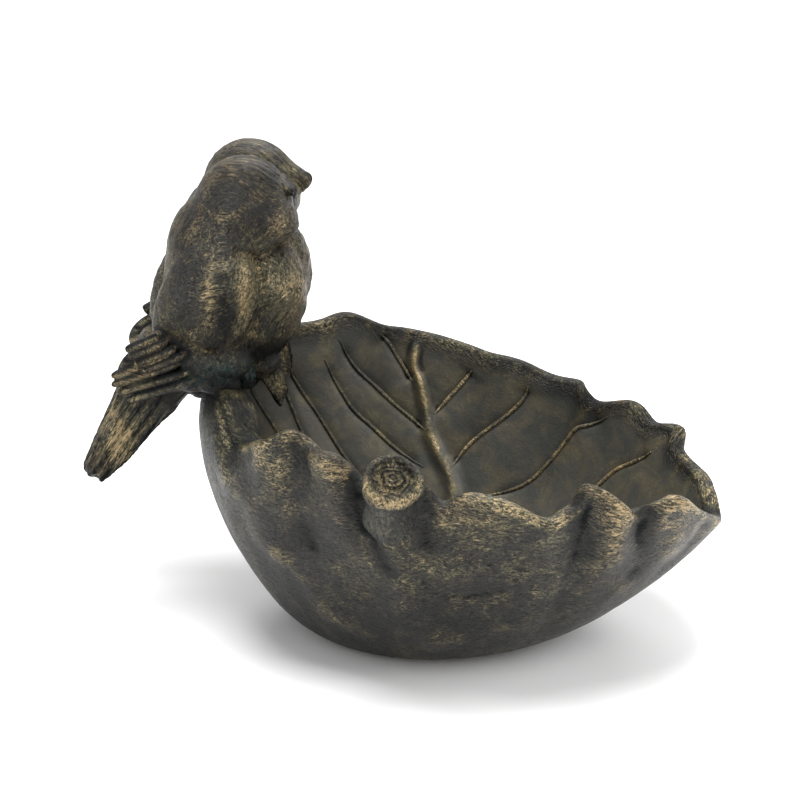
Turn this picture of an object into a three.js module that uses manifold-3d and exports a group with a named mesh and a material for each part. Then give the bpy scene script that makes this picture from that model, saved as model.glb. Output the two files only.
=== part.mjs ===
// A table-top bird bath: a leaf-shaped bowl with two small birds perched side by side on its rim.
//
// Millimetres, +Z up. Inside the assembly, +X runs from the birds to the leaf's pointed lobe, -Y is the
// side with the cut stem and +Y the side of the leaf's tip. The last lines move the whole assembly so
// that the origin lies under the middle of its bounding box, on the surface that the pads stand on.

import * as THREE from "three";
import { mergeVertices } from "three/addons/utils/BufferGeometryUtils.js";
import Module from "manifold-3d";

const wasm = await Module();
wasm.setup();

// ---------------------------------------------------------------- driving dimensions

const FIT_GAP = 0.35; // clearance between bonded castings
const SLIVER = 0.02; // cuts are cleaned of edges that matter less than this

const PAD_RADIUS = 6;
const PAD_THICKNESS = 2;
const PAD_SPREAD = 0.86; // how far out on the base oval the pads sit
const PAD_TURN = 26; // degrees between the base oval's long axis and a pad

const BASE_Z = PAD_THICKNESS + 0.3;
const BASE_CENTRE = [13, 0];
const BASE_HALF = [53, 46];
const RIM_CENTRE = [20, -8];
const RIM_HALF = [119, 90]; // half length and half width of the leaf's outline in plan
const RIM_TURN = -14; // degrees
const WALL = 7.5;
const FLOOR = 16;

// The wall is thicker under the birds: where and how far round on each side (degrees), how much
// thicker (mm), the height from which it is so in full, the part of it that the rim itself loses, and
// how far the rim's inner edge drops (mm).
const LEDGE = { at: 180, before: 20, after: 26, width: 20, full: 0.9, loss: 0.6, drop: 4 };

const LIFT_FADE = 2.5; // how steeply the pleats' lift fades down the wall
const LIP_ROUND = 3.2; // how far the rounded lip rises above the wall's last row

const WALL_COLUMNS = 120;
const OUTER_ROWS = 9;
const LIP_ROWS = 3;
const INNER_ROWS = 7;

// The rim's pleats, in order round the leaf: where each lies, how wide it is before and after that
// (degrees), how far it lifts the rim and swells the wall (mm), and how steeply the swelling fades
// down the wall.
const PLEATS = [
  { at: -176, before: 28, after: 28, lift: 1, flare: -16, fade: 9 },
  { at: -160, before: 7, after: 11, lift: -12.5, flare: -1, fade: 3 },
  { at: -143, before: 5, after: 5, lift: 0, flare: 3, fade: 2.5 },
  { at: -136, before: 5, after: 7, lift: 7, flare: 0, fade: 1 },
  { at: -131, before: 4, after: 4, lift: -2, flare: -3.5, fade: 4 },
  { at: -121, before: 6, after: 3.5, lift: 4, flare: 3, fade: 3 },
  { at: -114, before: 4, after: 4, lift: -7, flare: -3, fade: 3 },
  { at: -104, before: 7, after: 7, lift: 0, flare: 4, fade: 1.2 },
  { at: -92, before: 4, after: 5, lift: -8, flare: -2, fade: 5 },
  { at: -77, before: 12, after: 13, lift: 0, flare: 4, fade: 5 },
  { at: -66, before: 7, after: 5, lift: -6.5, flare: 0, fade: 7 },
  { at: -60, before: 4, after: 4, lift: 0, flare: -2, fade: 4 },
  { at: -56, before: 2.2, after: 6, lift: 9.5, flare: 0, fade: 1 },
  { at: -50, before: 4, after: 4, lift: 2, flare: 3, fade: 3 },
  { at: -42, before: 5, after: 2.5, lift: -2, flare: -3.5, fade: 3 },
  { at: -34, before: 5, after: 6, lift: 6, flare: 2, fade: 3 },
  { at: -13, before: 12, after: 4, lift: -11.5, flare: 2, fade: 2 },
  { at: -6, before: 6, after: 6, lift: -5, flare: 0, fade: 2 },
  { at: 5, before: 6, after: 8, lift: -3, flare: 0, fade: 2 },
  { at: 17, before: 2.2, after: 5, lift: 6.5, flare: 4, fade: 4 },
  { at: 30, before: 6, after: 7, lift: 7.5, flare: 2, fade: 2 },
  { at: 42, before: 4, after: 3, lift: 0, flare: -4, fade: 3 },
  { at: 44, before: 3, after: 9, lift: 6.5, flare: 0, fade: 2 },
  { at: 64, before: 9, after: 9, lift: 2.5, flare: 0, fade: 2 },
  { at: 74, before: 6, after: 6, lift: 0.5, flare: -2, fade: 2 },
  { at: 107, before: 4, after: 4, lift: 0, flare: -2, fade: 2 },
  { at: 117, before: 6, after: 6, lift: 4, flare: 2, fade: 2 },
  { at: 148, before: 15, after: 15, lift: 1.5, flare: -2, fade: 4 },
];

// Cut stem at the front rim
const STEM_FACE = [-3, -106, 110.5];
const STEM_LEAN = 35; // degrees from upright, outwards
const STEM_LENGTH = 30;
const STEM_RING = 12.3;
const STEM_NECK = 9.5;

// Birds: perch point, heading from +X towards +Y, turn of the head, and size against the near one
const NEAR_BIRD = { perch: [-74, 10, 113], heading: 8, headTurn: 30, size: 1 };
const FAR_BIRD = { perch: [-72.5, 51, 112], heading: -3, headTurn: 3, size: 0.97 };

const PIN_RADIUS = 1.5;
const PIN_LENGTH = 24;
const PIN_ROOT = 0.87; // height of a pin's lower end, as a fraction of the wall
const LEG_SPACING = 18;
const LEGS = { left: 1, right: -1 };

// ---------------------------------------------------------------- solids

function toSolid(geometry) {
  const bare = new THREE.BufferGeometry();
  bare.setAttribute("position", geometry.getAttribute("position"));
  bare.setIndex(geometry.index);
  const merged = mergeVertices(bare, 1e-3);
  return new wasm.Manifold(
    new wasm.Mesh({
      numProp: 3,
      vertProperties: new Float32Array(merged.attributes.position.array),
      triVerts: new Uint32Array(merged.index.array),
    }),
  );
}

function toGeometry(solid) {
  const mesh = solid.getMesh();
  const geometry = new THREE.BufferGeometry();
  geometry.setAttribute("position", new THREE.BufferAttribute(mesh.vertProperties, 3));
  geometry.setIndex(new THREE.BufferAttribute(mesh.triVerts, 1));
  geometry.computeVertexNormals();
  return geometry;
}

// The same shape with its surface moved out, for cutting a neighbour that must stay clear of it.
function grown(geometry, gap = FIT_GAP) {
  const bare = new THREE.BufferGeometry();
  bare.setAttribute("position", geometry.getAttribute("position").clone());
  bare.setIndex(geometry.index);
  const merged = mergeVertices(bare, 1e-3);
  merged.computeVertexNormals();
  const place = merged.getAttribute("position");
  const normal = merged.getAttribute("normal");
  for (let i = 0; i < place.count; i += 1) {
    place.setXYZ(
      i,
      place.getX(i) + gap * normal.getX(i),
      place.getY(i) + gap * normal.getY(i),
      place.getZ(i) + gap * normal.getZ(i),
    );
  }
  return toSolid(merged);
}

// The largest body of a cut solid, without the slivers and tiny edges that a cut can leave.
function tidied(solid) {
  const bodies = solid.simplify(SLIVER).decompose();
  bodies.sort((a, b) => b.volume() - a.volume());
  return bodies[0];
}

// Closed surface through rings of equal length, with a point at each end.
function skin(rings, firstPoint, lastPoint) {
  const columns = rings[0].length;
  const points = [firstPoint, ...rings.flat(), lastPoint];
  const index = [];
  const at = (row, column) => 1 + row * columns + (column % columns);
  for (let c = 0; c < columns; c += 1) {
    index.push(0, at(0, c + 1), at(0, c));
    for (let r = 0; r + 1 < rings.length; r += 1) {
      index.push(at(r, c), at(r, c + 1), at(r + 1, c + 1));
      index.push(at(r, c), at(r + 1, c + 1), at(r + 1, c));
    }
    index.push(points.length - 1, at(rings.length - 1, c), at(rings.length - 1, c + 1));
  }
  const geometry = new THREE.BufferGeometry().setFromPoints(points);
  geometry.setIndex(index);
  return geometry;
}

// ---------------------------------------------------------------- leaf bowl

const radians = THREE.MathUtils.degToRad;
const mix = THREE.MathUtils.lerp;

function pleatWeight(angle, pleat) {
  const away = Math.atan2(Math.sin(angle - radians(pleat.at)), Math.cos(angle - radians(pleat.at)));
  const span = radians(away < 0 ? pleat.before : pleat.after);
  return Math.exp(-((away / span) ** 2));
}

function outlineRadius(angle) {
  const along = Math.cos(angle - radians(RIM_TURN)) / RIM_HALF[0];
  const across = Math.sin(angle - radians(RIM_TURN)) / RIM_HALF[1];
  return 1 / Math.hypot(along, across);
}

// The rim's height without its pleats
function rimSweep(angle) {
  const sweep = 101 - 19 * Math.cos(angle) + 2 * Math.sin(angle);
  const twist = -5 * Math.cos(2 * angle) - 2 * Math.sin(2 * angle);
  return sweep + twist;
}

function rimLift(angle) {
  return PLEATS.reduce((sum, pleat) => sum + pleat.lift * pleatWeight(angle, pleat), 0);
}

// How open the wall is: 0 is a round bowl wall, 1 a straight flare. The pointed lobe flares most.
function openness(angle) {
  return 0.6 + 0.03 * Math.cos(angle - radians(RIM_TURN));
}

function swelling(angle, up, depthFactor) {
  return PLEATS.reduce(
    (sum, pleat) => sum + pleat.flare * pleatWeight(angle, pleat) * up ** (pleat.fade * depthFactor),
    0,
  );
}

// How far the ledge under the birds stands in from the plain wall
function ledgeWidth(angle, up) {
  const reach = THREE.MathUtils.smoothstep(up, 0, LEDGE.full) * (1 - LEDGE.loss * up ** 20);
  return LEDGE.width * pleatWeight(angle, LEDGE) * reach;
}

// A point of the wall: up runs from 0 at the base's edge to 1 at the rim. inset moves the surface
// inwards by the wall's thickness, floor lifts its foot, and ledge is 1 to have the ledge too.
function wallPoint(angle, up, inset = 0, floor = 0, ledge = 0) {
  const open = openness(angle);
  const outward = mix(Math.sin((up * Math.PI) / 2), up, open);
  const upward = mix(1 - Math.cos((up * Math.PI) / 2), up ** 1.35, open);
  const depthFactor = inset > 0 ? 1.8 : 1;
  const radius = outlineRadius(angle) - inset;
  const swell = swelling(angle, up, depthFactor) - ledge * ledgeWidth(angle, up);
  const drop = ledge * LEDGE.drop * pleatWeight(angle, LEDGE) * up ** 6;
  const foot = 1 - inset / BASE_HALF[1];
  const x0 = BASE_CENTRE[0] + foot * BASE_HALF[0] * Math.cos(angle);
  const y0 = BASE_CENTRE[1] + foot * BASE_HALF[1] * Math.sin(angle);
  const x1 = RIM_CENTRE[0] + radius * Math.cos(angle);
  const y1 = RIM_CENTRE[1] + radius * Math.sin(angle);
  const z0 = BASE_Z + floor;
  return new THREE.Vector3(
    mix(x0, x1, outward) + swell * Math.cos(angle),
    mix(y0, y1, outward) + swell * Math.sin(angle),
    mix(z0, rimSweep(angle) - LIP_ROUND, upward) + rimLift(angle) * up ** LIFT_FADE - drop,
  );
}

function wallRing(up, inset, floor, ledge) {
  return Array.from({ length: WALL_COLUMNS }, (_, i) =>
    wallPoint((i / WALL_COLUMNS) * 2 * Math.PI, up, inset, floor, ledge),
  );
}

function lipRing(fraction, outer, inner) {
  const turn = fraction * Math.PI;
  return outer.map((point, i) => {
    const across = (1 - Math.cos(turn)) / 2;
    const spot = point.clone().lerp(inner[i], across);
    spot.z += LIP_ROUND * Math.sin(turn);
    return spot;
  });
}

function leafShell() {
  const outer = Array.from({ length: OUTER_ROWS + 1 }, (_, i) => wallRing(i / OUTER_ROWS, 0, 0, 0));
  const inner = Array.from({ length: INNER_ROWS + 1 }, (_, i) =>
    wallRing(1 - i / INNER_ROWS, WALL, FLOOR, 1),
  );
  const lip = Array.from({ length: LIP_ROWS }, (_, i) =>
    lipRing((i + 1) / (LIP_ROWS + 1), outer[OUTER_ROWS], inner[0]),
  );
  const under = new THREE.Vector3(BASE_CENTRE[0], BASE_CENTRE[1], BASE_Z);
  const dish = new THREE.Vector3(BASE_CENTRE[0], BASE_CENTRE[1], BASE_Z + FLOOR - 2);
  return skin([...outer, ...lip, ...inner], under, dish);
}

// ---------------------------------------------------------------- cut stem

function stemShape() {
  const profile = [
    [0, -STEM_LENGTH],
    [STEM_NECK - 3, -STEM_LENGTH],
    [STEM_NECK, -STEM_LENGTH + 6],
    [STEM_NECK, -8],
    [STEM_RING - 1, -6.5],
    [STEM_RING, -4],
    [STEM_RING, -1.5],
    [STEM_RING - 1.5, 0],
    [STEM_RING - 3, -1.2],
    [0, -1.6],
  ].map(([radius, height]) => new THREE.Vector2(radius, height));
  const shape = new THREE.LatheGeometry(profile, 32);
  shape.rotateX(Math.PI / 2 + radians(STEM_LEAN));
  shape.translate(...STEM_FACE);
  return shape;
}

// ---------------------------------------------------------------- birds

// An ellipsoid in a bird's own frame: x forward, y to its left, z up. tilt raises its long x axis.
function egg([x, y, z], [length, width, depth], tilt = 0, toe = 0, detail = 20) {
  const shape = new THREE.SphereGeometry(1, detail, Math.round(detail * 0.7));
  shape.scale(length, width, depth);
  shape.rotateZ(radians(toe));
  shape.rotateY(-radians(tilt));
  shape.translate(x, y, z);
  return shape;
}

// Rump and tail: oval sections square to a line that runs down and back.
function tailShape() {
  const stations = [
    { x: -12, z: 24, halfDepth: 22, halfWidth: 17 },
    { x: -28, z: 6, halfDepth: 18, halfWidth: 15 },
    { x: -40, z: -12, halfDepth: 14, halfWidth: 13 },
    { x: -52, z: -31, halfDepth: 9.5, halfWidth: 11.5 },
    { x: -61, z: -44, halfDepth: 6, halfWidth: 9.5 },
  ];
  const slope = radians(57);
  const rings = stations.map((station) =>
    Array.from({ length: 18 }, (_, i) => {
      const turn = (i / 18) * 2 * Math.PI;
      const depth = station.halfDepth * Math.sin(turn);
      return new THREE.Vector3(
        station.x + depth * Math.sin(slope),
        station.halfWidth * Math.cos(turn),
        station.z - depth * Math.cos(slope),
      );
    }),
  );
  return skin(rings, new THREE.Vector3(-4, 0, 32), new THREE.Vector3(-63, 0, -47));
}

function beakShape() {
  const shape = new THREE.ConeGeometry(6.5, 13, 12);
  shape.rotateZ(-Math.PI / 2);
  shape.rotateY(radians(14));
  shape.translate(23, 0, 2);
  return shape;
}

function headShapes(turn) {
  const shapes = [egg([0, 0, 0], [22, 20, 22.5]), beakShape()];
  for (const shape of shapes) {
    shape.rotateZ(radians(turn));
    shape.translate(8.5, 0, 76.5);
  }
  return shapes;
}

function footShape(side) {
  const shape = new THREE.CapsuleGeometry(4.5, 15, 3, 8);
  shape.rotateY(radians(-40));
  shape.translate(17, (side * LEG_SPACING) / 2, -1);
  return shape;
}

function placeBird(bird, geometry) {
  geometry.scale(bird.size, bird.size, bird.size);
  geometry.rotateZ(radians(bird.heading));
  geometry.translate(...bird.perch);
  return geometry;
}

// The overlapping shapes that a bird is the union of.
function birdShapes(bird) {
  const shapes = [
    egg([0, 0, 34], [36, 25, 31], 65, 0, 22),
    egg([-1, 0, 60], [26, 22, 24], 70, 0, 18),
    egg([-20, 16, 31], [43, 8, 18], 62, 7, 18),
    egg([-20, -16, 31], [43, 8, 18], 62, -7, 18),
    tailShape(),
    footShape(1),
    footShape(-1),
    ...headShapes(bird.headTurn),
  ];
  return shapes.map((shape) => placeBird(bird, shape));
}

// Epoxy putty saddle over the rim, which beds the bird's underside.
function seatShape(bird) {
  return placeBird(bird, egg([-5, 0, 1], [19, 15, 9], 0, 0, 14));
}

// A dowel that stands in the wall's thickness and runs up into the bird.
function pinShape(bird, side, radius = PIN_RADIUS) {
  const across = (side * LEG_SPACING) / 2;
  const towards = [
    bird.perch[0] - across * Math.sin(radians(bird.heading)) - RIM_CENTRE[0],
    bird.perch[1] + across * Math.cos(radians(bird.heading)) - RIM_CENTRE[1],
  ];
  const angle = Math.atan2(towards[1], towards[0]);
  const middle = (up) => wallPoint(angle, up).lerp(wallPoint(angle, up, WALL, FLOOR), 0.5);
  const root = middle(PIN_ROOT);
  const direction = middle(1).sub(root).normalize();
  const upright = new THREE.Quaternion().setFromUnitVectors(new THREE.Vector3(0, 1, 0), direction);
  const shape = new THREE.CylinderGeometry(radius, radius, PIN_LENGTH + 2 * (radius - PIN_RADIUS), 14);
  shape.translate(0, PIN_LENGTH / 2, 0);
  shape.applyQuaternion(upright);
  shape.translate(root.x, root.y, root.z);
  return shape;
}

// ---------------------------------------------------------------- pads

function padShape(turn) {
  const shape = new THREE.CylinderGeometry(PAD_RADIUS, PAD_RADIUS, PAD_THICKNESS, 28);
  shape.rotateX(Math.PI / 2);
  shape.translate(
    BASE_CENTRE[0] + PAD_SPREAD * BASE_HALF[0] * Math.cos(turn),
    BASE_CENTRE[1] + PAD_SPREAD * BASE_HALF[1] * Math.sin(turn),
    PAD_THICKNESS / 2,
  );
  return shape;
}

// ---------------------------------------------------------------- materials

function finish(color, roughness, metalness) {
  return new THREE.MeshStandardMaterial({ color, roughness, metalness });
}

const leafFinish = finish(0x46423a, 0.55, 0.2);
const plumageFinish = finish(0x4d463a, 0.55, 0.2);
const stemFinish = finish(0x5d5138, 0.6, 0.2);
const epoxyFinish = finish(0x2c3431, 0.8, 0);
const steelFinish = finish(0xa8a8a8, 0.35, 0.9);
const padFinish = finish(0x1c1c1c, 0.9, 0);

// ---------------------------------------------------------------- assembly

const birdBath = new THREE.Group();

function addNode(name, geometry, material) {
  const mesh = new THREE.Mesh(geometry, material);
  mesh.name = name;
  birdBath.add(mesh);
}

const leaf = leafShell();
const stem = stemShape();
const leafClearance = grown(leaf);
let bowl = toSolid(leaf).subtract(grown(stem));

const perched = [
  ["near", NEAR_BIRD],
  ["far", FAR_BIRD],
];
let neighbours = [];
for (const [label, bird] of perched) {
  const seat = seatShape(bird);
  const shapes = birdShapes(bird);
  let casting = shapes.map(toSolid).reduce((whole, shape) => whole.add(shape));
  let putty = toSolid(seat).subtract(leafClearance);
  for (const cutter of [grown(seat), leafClearance, ...neighbours]) {
    casting = casting.subtract(cutter);
  }
  for (const [leg, side] of Object.entries(LEGS)) {
    const hole = toSolid(pinShape(bird, side, PIN_RADIUS + FIT_GAP));
    casting = casting.subtract(hole);
    putty = putty.subtract(hole);
    bowl = bowl.subtract(hole);
    addNode(label + "_bird_" + leg + "_leg_dowel", pinShape(bird, side), steelFinish);
  }
  neighbours = shapes.map((shape) => grown(shape));
  addNode(label + "_bird", toGeometry(tidied(casting)), plumageFinish);
  addNode(label + "_bird_epoxy_seat", toGeometry(tidied(putty)), epoxyFinish);
}

addNode("leaf_bowl", toGeometry(tidied(bowl)), leafFinish);
addNode("stem_stub", stem, stemFinish);
const padTurns = [PAD_TURN, 180 - PAD_TURN, 180 + PAD_TURN, 360 - PAD_TURN];
for (const [corner, turn] of padTurns.entries()) {
  addNode("foot_pad_" + (corner + 1), padShape(radians(turn)), padFinish);
}

const extent = new THREE.Box3().setFromObject(birdBath, true);
const middle = extent.getCenter(new THREE.Vector3());
birdBath.position.set(-middle.x, -middle.y, -extent.min.z);

export default birdBath;
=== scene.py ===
# Looks for the leaf bowl with two perched birds. Shapes are worked out in millimetres in the part's
# assembly frame and moved into the row frame, in metres, when a mesh is made.

import math

import bpy
import numpy as np
import openvdb
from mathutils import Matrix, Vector


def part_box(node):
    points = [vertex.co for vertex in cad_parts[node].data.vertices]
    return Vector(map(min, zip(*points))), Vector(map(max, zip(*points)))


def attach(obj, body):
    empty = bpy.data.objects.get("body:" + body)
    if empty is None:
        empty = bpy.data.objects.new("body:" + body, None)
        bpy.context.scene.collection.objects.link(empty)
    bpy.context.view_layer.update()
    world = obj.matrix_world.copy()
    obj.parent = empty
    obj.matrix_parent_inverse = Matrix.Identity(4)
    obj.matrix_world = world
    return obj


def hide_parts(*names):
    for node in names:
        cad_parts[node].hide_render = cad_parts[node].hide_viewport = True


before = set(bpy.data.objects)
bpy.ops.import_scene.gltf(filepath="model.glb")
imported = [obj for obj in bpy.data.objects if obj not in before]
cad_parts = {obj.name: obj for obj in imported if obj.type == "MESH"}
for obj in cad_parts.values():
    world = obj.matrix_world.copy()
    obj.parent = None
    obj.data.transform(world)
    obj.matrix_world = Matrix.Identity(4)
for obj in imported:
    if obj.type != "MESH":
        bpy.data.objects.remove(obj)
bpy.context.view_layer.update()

MM = 0.001

# ---- where things are

# the middle of the bowl's base, and of the four pads, in the assembly frame
BASE_CENTRE = (13.0, 0.0)
PADS = ["foot_pad_1", "foot_pad_2", "foot_pad_3", "foot_pad_4"]
pad_boxes = [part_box(pad) for pad in PADS]
pads_middle = sum(((low + high) / 2 for low, high in pad_boxes), Vector()) / len(PADS)
SHIFT = np.array([pads_middle.x / MM - BASE_CENTRE[0], pads_middle.y / MM - BASE_CENTRE[1], 0.0])


# ---- numbers

def mix(a, b, t):
    return a + (b - a) * t


def smoothstep(low, high, value):
    t = np.clip((value - low) / (high - low), 0, 1)
    return t * t * (3 - 2 * t)


def lattice(ix, iy, iz, seed):
    """A repeatable number from -1 to 1 for each whole-numbered point, scrambled with large primes."""
    n = ix * 374761393 + iy * 668265263 + iz * 2147483647 + seed * 974634777
    n = (n ^ (n >> 13)) * 1274126177 & 0xFFFFFFFF
    n = (n ^ (n >> 16)) & 0xFFFF
    return n / 32767.5 - 1


def noise(points, seed):
    """Smooth value noise from -1 to 1 with cells one unit wide."""
    cell = np.floor(points).astype(np.int64)
    f = points - cell
    u = f * f * (3 - 2 * f)
    total = 0.0
    for corner in np.ndindex(2, 2, 2):
        weight = np.where(corner, u, 1 - u).prod(-1)
        total = total + weight * lattice(*np.moveaxis(cell + corner, -1, 0), seed)
    return total


def layered(points, octaves, seed):
    """Noise from -1 to 1 with finer and weaker noise on top of it."""
    total = 0.0
    for octave in range(octaves):
        total = total + noise(points * 2**octave, seed + octave) / 2**octave
    return total / (2 - 2.0 ** (1 - octaves))


def spline(points, count):
    """Catmull-Rom curve through the points."""
    p = np.array(points, float)
    p = np.vstack([2 * p[0] - p[1], p, 2 * p[-1] - p[-2]])
    spans = len(p) - 3
    s = np.linspace(0, spans, count)
    i = np.minimum(s.astype(int), spans - 1)
    t = (s - i)[:, None]
    a, b, c, d = p[i], p[i + 1], p[i + 2], p[i + 3]
    return 0.5 * (2 * b + (c - a) * t + (2 * a - 5 * b + 4 * c - d) * t**2 + (3 * b - a - 3 * c + d) * t**3)


def nearest_on(line, points):
    """Each point's squared distance to a line of points, and the number of the nearest one."""
    best = np.full(points.shape[:-1], 1e9)
    index = np.zeros(points.shape[:-1], int)
    for i, spot in enumerate(line):
        away = ((points - spot) ** 2).sum(-1)
        closer = away < best
        best[closer] = away[closer]
        index[closer] = i
    return best, index


# ---- meshes

# rounds of smoothing that take away the fine relief, and then the wide relief too
FINE_ROUNDS = 5
WIDE_ROUNDS = 40


def smoothed(points, edges, rounds):
    """The points, each moved halfway to the middle of its neighbours again and again."""
    count = len(points)
    a, b = edges.T
    degree = np.bincount(edges.ravel(), minlength=count).astype(float)
    result = points
    for _ in range(rounds):
        near = [np.bincount(a, q[b], count) + np.bincount(b, q[a], count) for q in result.T]
        result = 0.5 * result + 0.5 * np.stack(near, 1) / degree[:, None]
    return result


def add_object(name, data):
    thing = bpy.data.objects.new(name, data)
    bpy.context.scene.collection.objects.link(thing)
    return thing


def add_attribute(mesh, name, values):
    kind = "FLOAT_VECTOR" if values.ndim == 2 else "FLOAT"
    attribute = mesh.attributes.new(name, kind, "POINT")
    key = "vector" if values.ndim == 2 else "value"
    attribute.data.foreach_set(key, values.astype(np.float32).ravel())


def mesh_normals(mesh):
    normals = np.zeros(len(mesh.vertices) * 3, np.float32)
    mesh.vertex_normals.foreach_get("vector", normals)
    return normals.reshape(-1, 3)


def make_piece(name, points, faces, attributes, material, replaced):
    """A piece from points in millimetres, with its relief measured at two scales for the patina."""
    mesh = bpy.data.meshes.new(name)
    mesh.from_pydata((points + SHIFT) * MM, [], faces)
    mesh.shade_smooth()
    edges = np.zeros(len(mesh.edges) * 2, np.int32)
    mesh.edges.foreach_get("vertices", edges)
    edges = edges.reshape(-1, 2)
    normals = mesh_normals(mesh)
    fine = smoothed(points, edges, FINE_ROUNDS)
    wide = smoothed(fine, edges, WIDE_ROUNDS)
    add_attribute(mesh, "fine_relief", ((points - fine) * normals).sum(1))
    add_attribute(mesh, "wide_relief", ((points - wide) * normals).sum(1))
    for key, values in attributes.items():
        add_attribute(mesh, key, values)
    piece = add_object(name, mesh)
    mesh.materials.append(material)
    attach(piece, "root")
    if replaced:
        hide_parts(*replaced)


# ---- materials

class Tree:
    """Short names for building one material's nodes."""

    def __init__(self, name):
        self.material = bpy.data.materials.new(name)
        self.material.use_nodes = True
        tree = self.material.node_tree
        self.nodes, self.links = tree.nodes, tree.links
        self.shader = self.nodes["Principled BSDF"]

    def put(self, socket, value):
        if isinstance(value, bpy.types.NodeSocket):
            self.links.new(value, socket)
        else:
            socket.default_value = value

    def add(self, kind, output, inputs, **settings):
        """The output of a new node, once its settings are made and its inputs linked or filled in."""
        node = self.nodes.new("ShaderNode" + kind)
        for key, value in settings.items():
            setattr(node, key, value)
        for key, value in inputs.items():
            self.put(node.inputs[key], value)
        return node.outputs[output]

    def attribute(self, name, vector=False):
        return self.add("Attribute", "Vector" if vector else "Fac", {}, attribute_name=name)

    def place(self):
        return self.add("TexCoord", "Object", {})

    def noise(self, vector, scale, detail=4.0, roughness=0.55, distortion=0.0):
        inputs = {"Vector": vector, "Scale": scale, "Detail": detail}
        return self.add("TexNoise", "Fac", inputs | {"Roughness": roughness, "Distortion": distortion})

    def cells(self, vector, scale):
        inputs = {"Vector": vector, "Scale": scale, "Smoothness": 0.6}
        return self.add("TexVoronoi", "Distance", inputs, feature="SMOOTH_F1")

    def math(self, operation, a, b=0.0, clamp=False):
        return self.add("Math", 0, {0: a, 1: b}, operation=operation, use_clamp=clamp)

    def times(self, a, b):
        return self.math("MULTIPLY", a, b)

    def ramp(self, value, low, high, start=0.0, end=1.0):
        inputs = {"Value": value, "From Min": low, "From Max": high, "To Min": start, "To Max": end}
        return self.add("MapRange", "Result", inputs, interpolation_type="SMOOTHSTEP")

    def weigh(self, *terms):
        """The sum of value times weight over the terms."""
        total = None
        for value, weight in terms:
            part = self.times(value, weight)
            total = part if total is None else self.math("ADD", total, part)
        return total

    def blend(self, factor, a, b):
        return self.add("Mix", "Result", {"Factor": factor, "A": a, "B": b}, data_type="RGBA")

    def bump(self, height, strength, distance):
        return self.add("Bump", "Normal", {"Strength": strength, "Distance": distance, "Height": height})


INSIDE_PAINT = (0.033, 0.0345, 0.031, 1)
INSIDE_PATCH = (0.064, 0.055, 0.037, 1)
OCHRE = (0.15, 0.112, 0.055, 1)
OLIVE = (0.1, 0.095, 0.05, 1)
WORN_GOLD = (0.45, 0.33, 0.18, 1)
# near black for the painted shade in the hollows
HOLLOW_SHADE = (0.0025, 0.0035, 0.004, 1)
VERDIGRIS = (0.008, 0.042, 0.044, 1)


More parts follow.
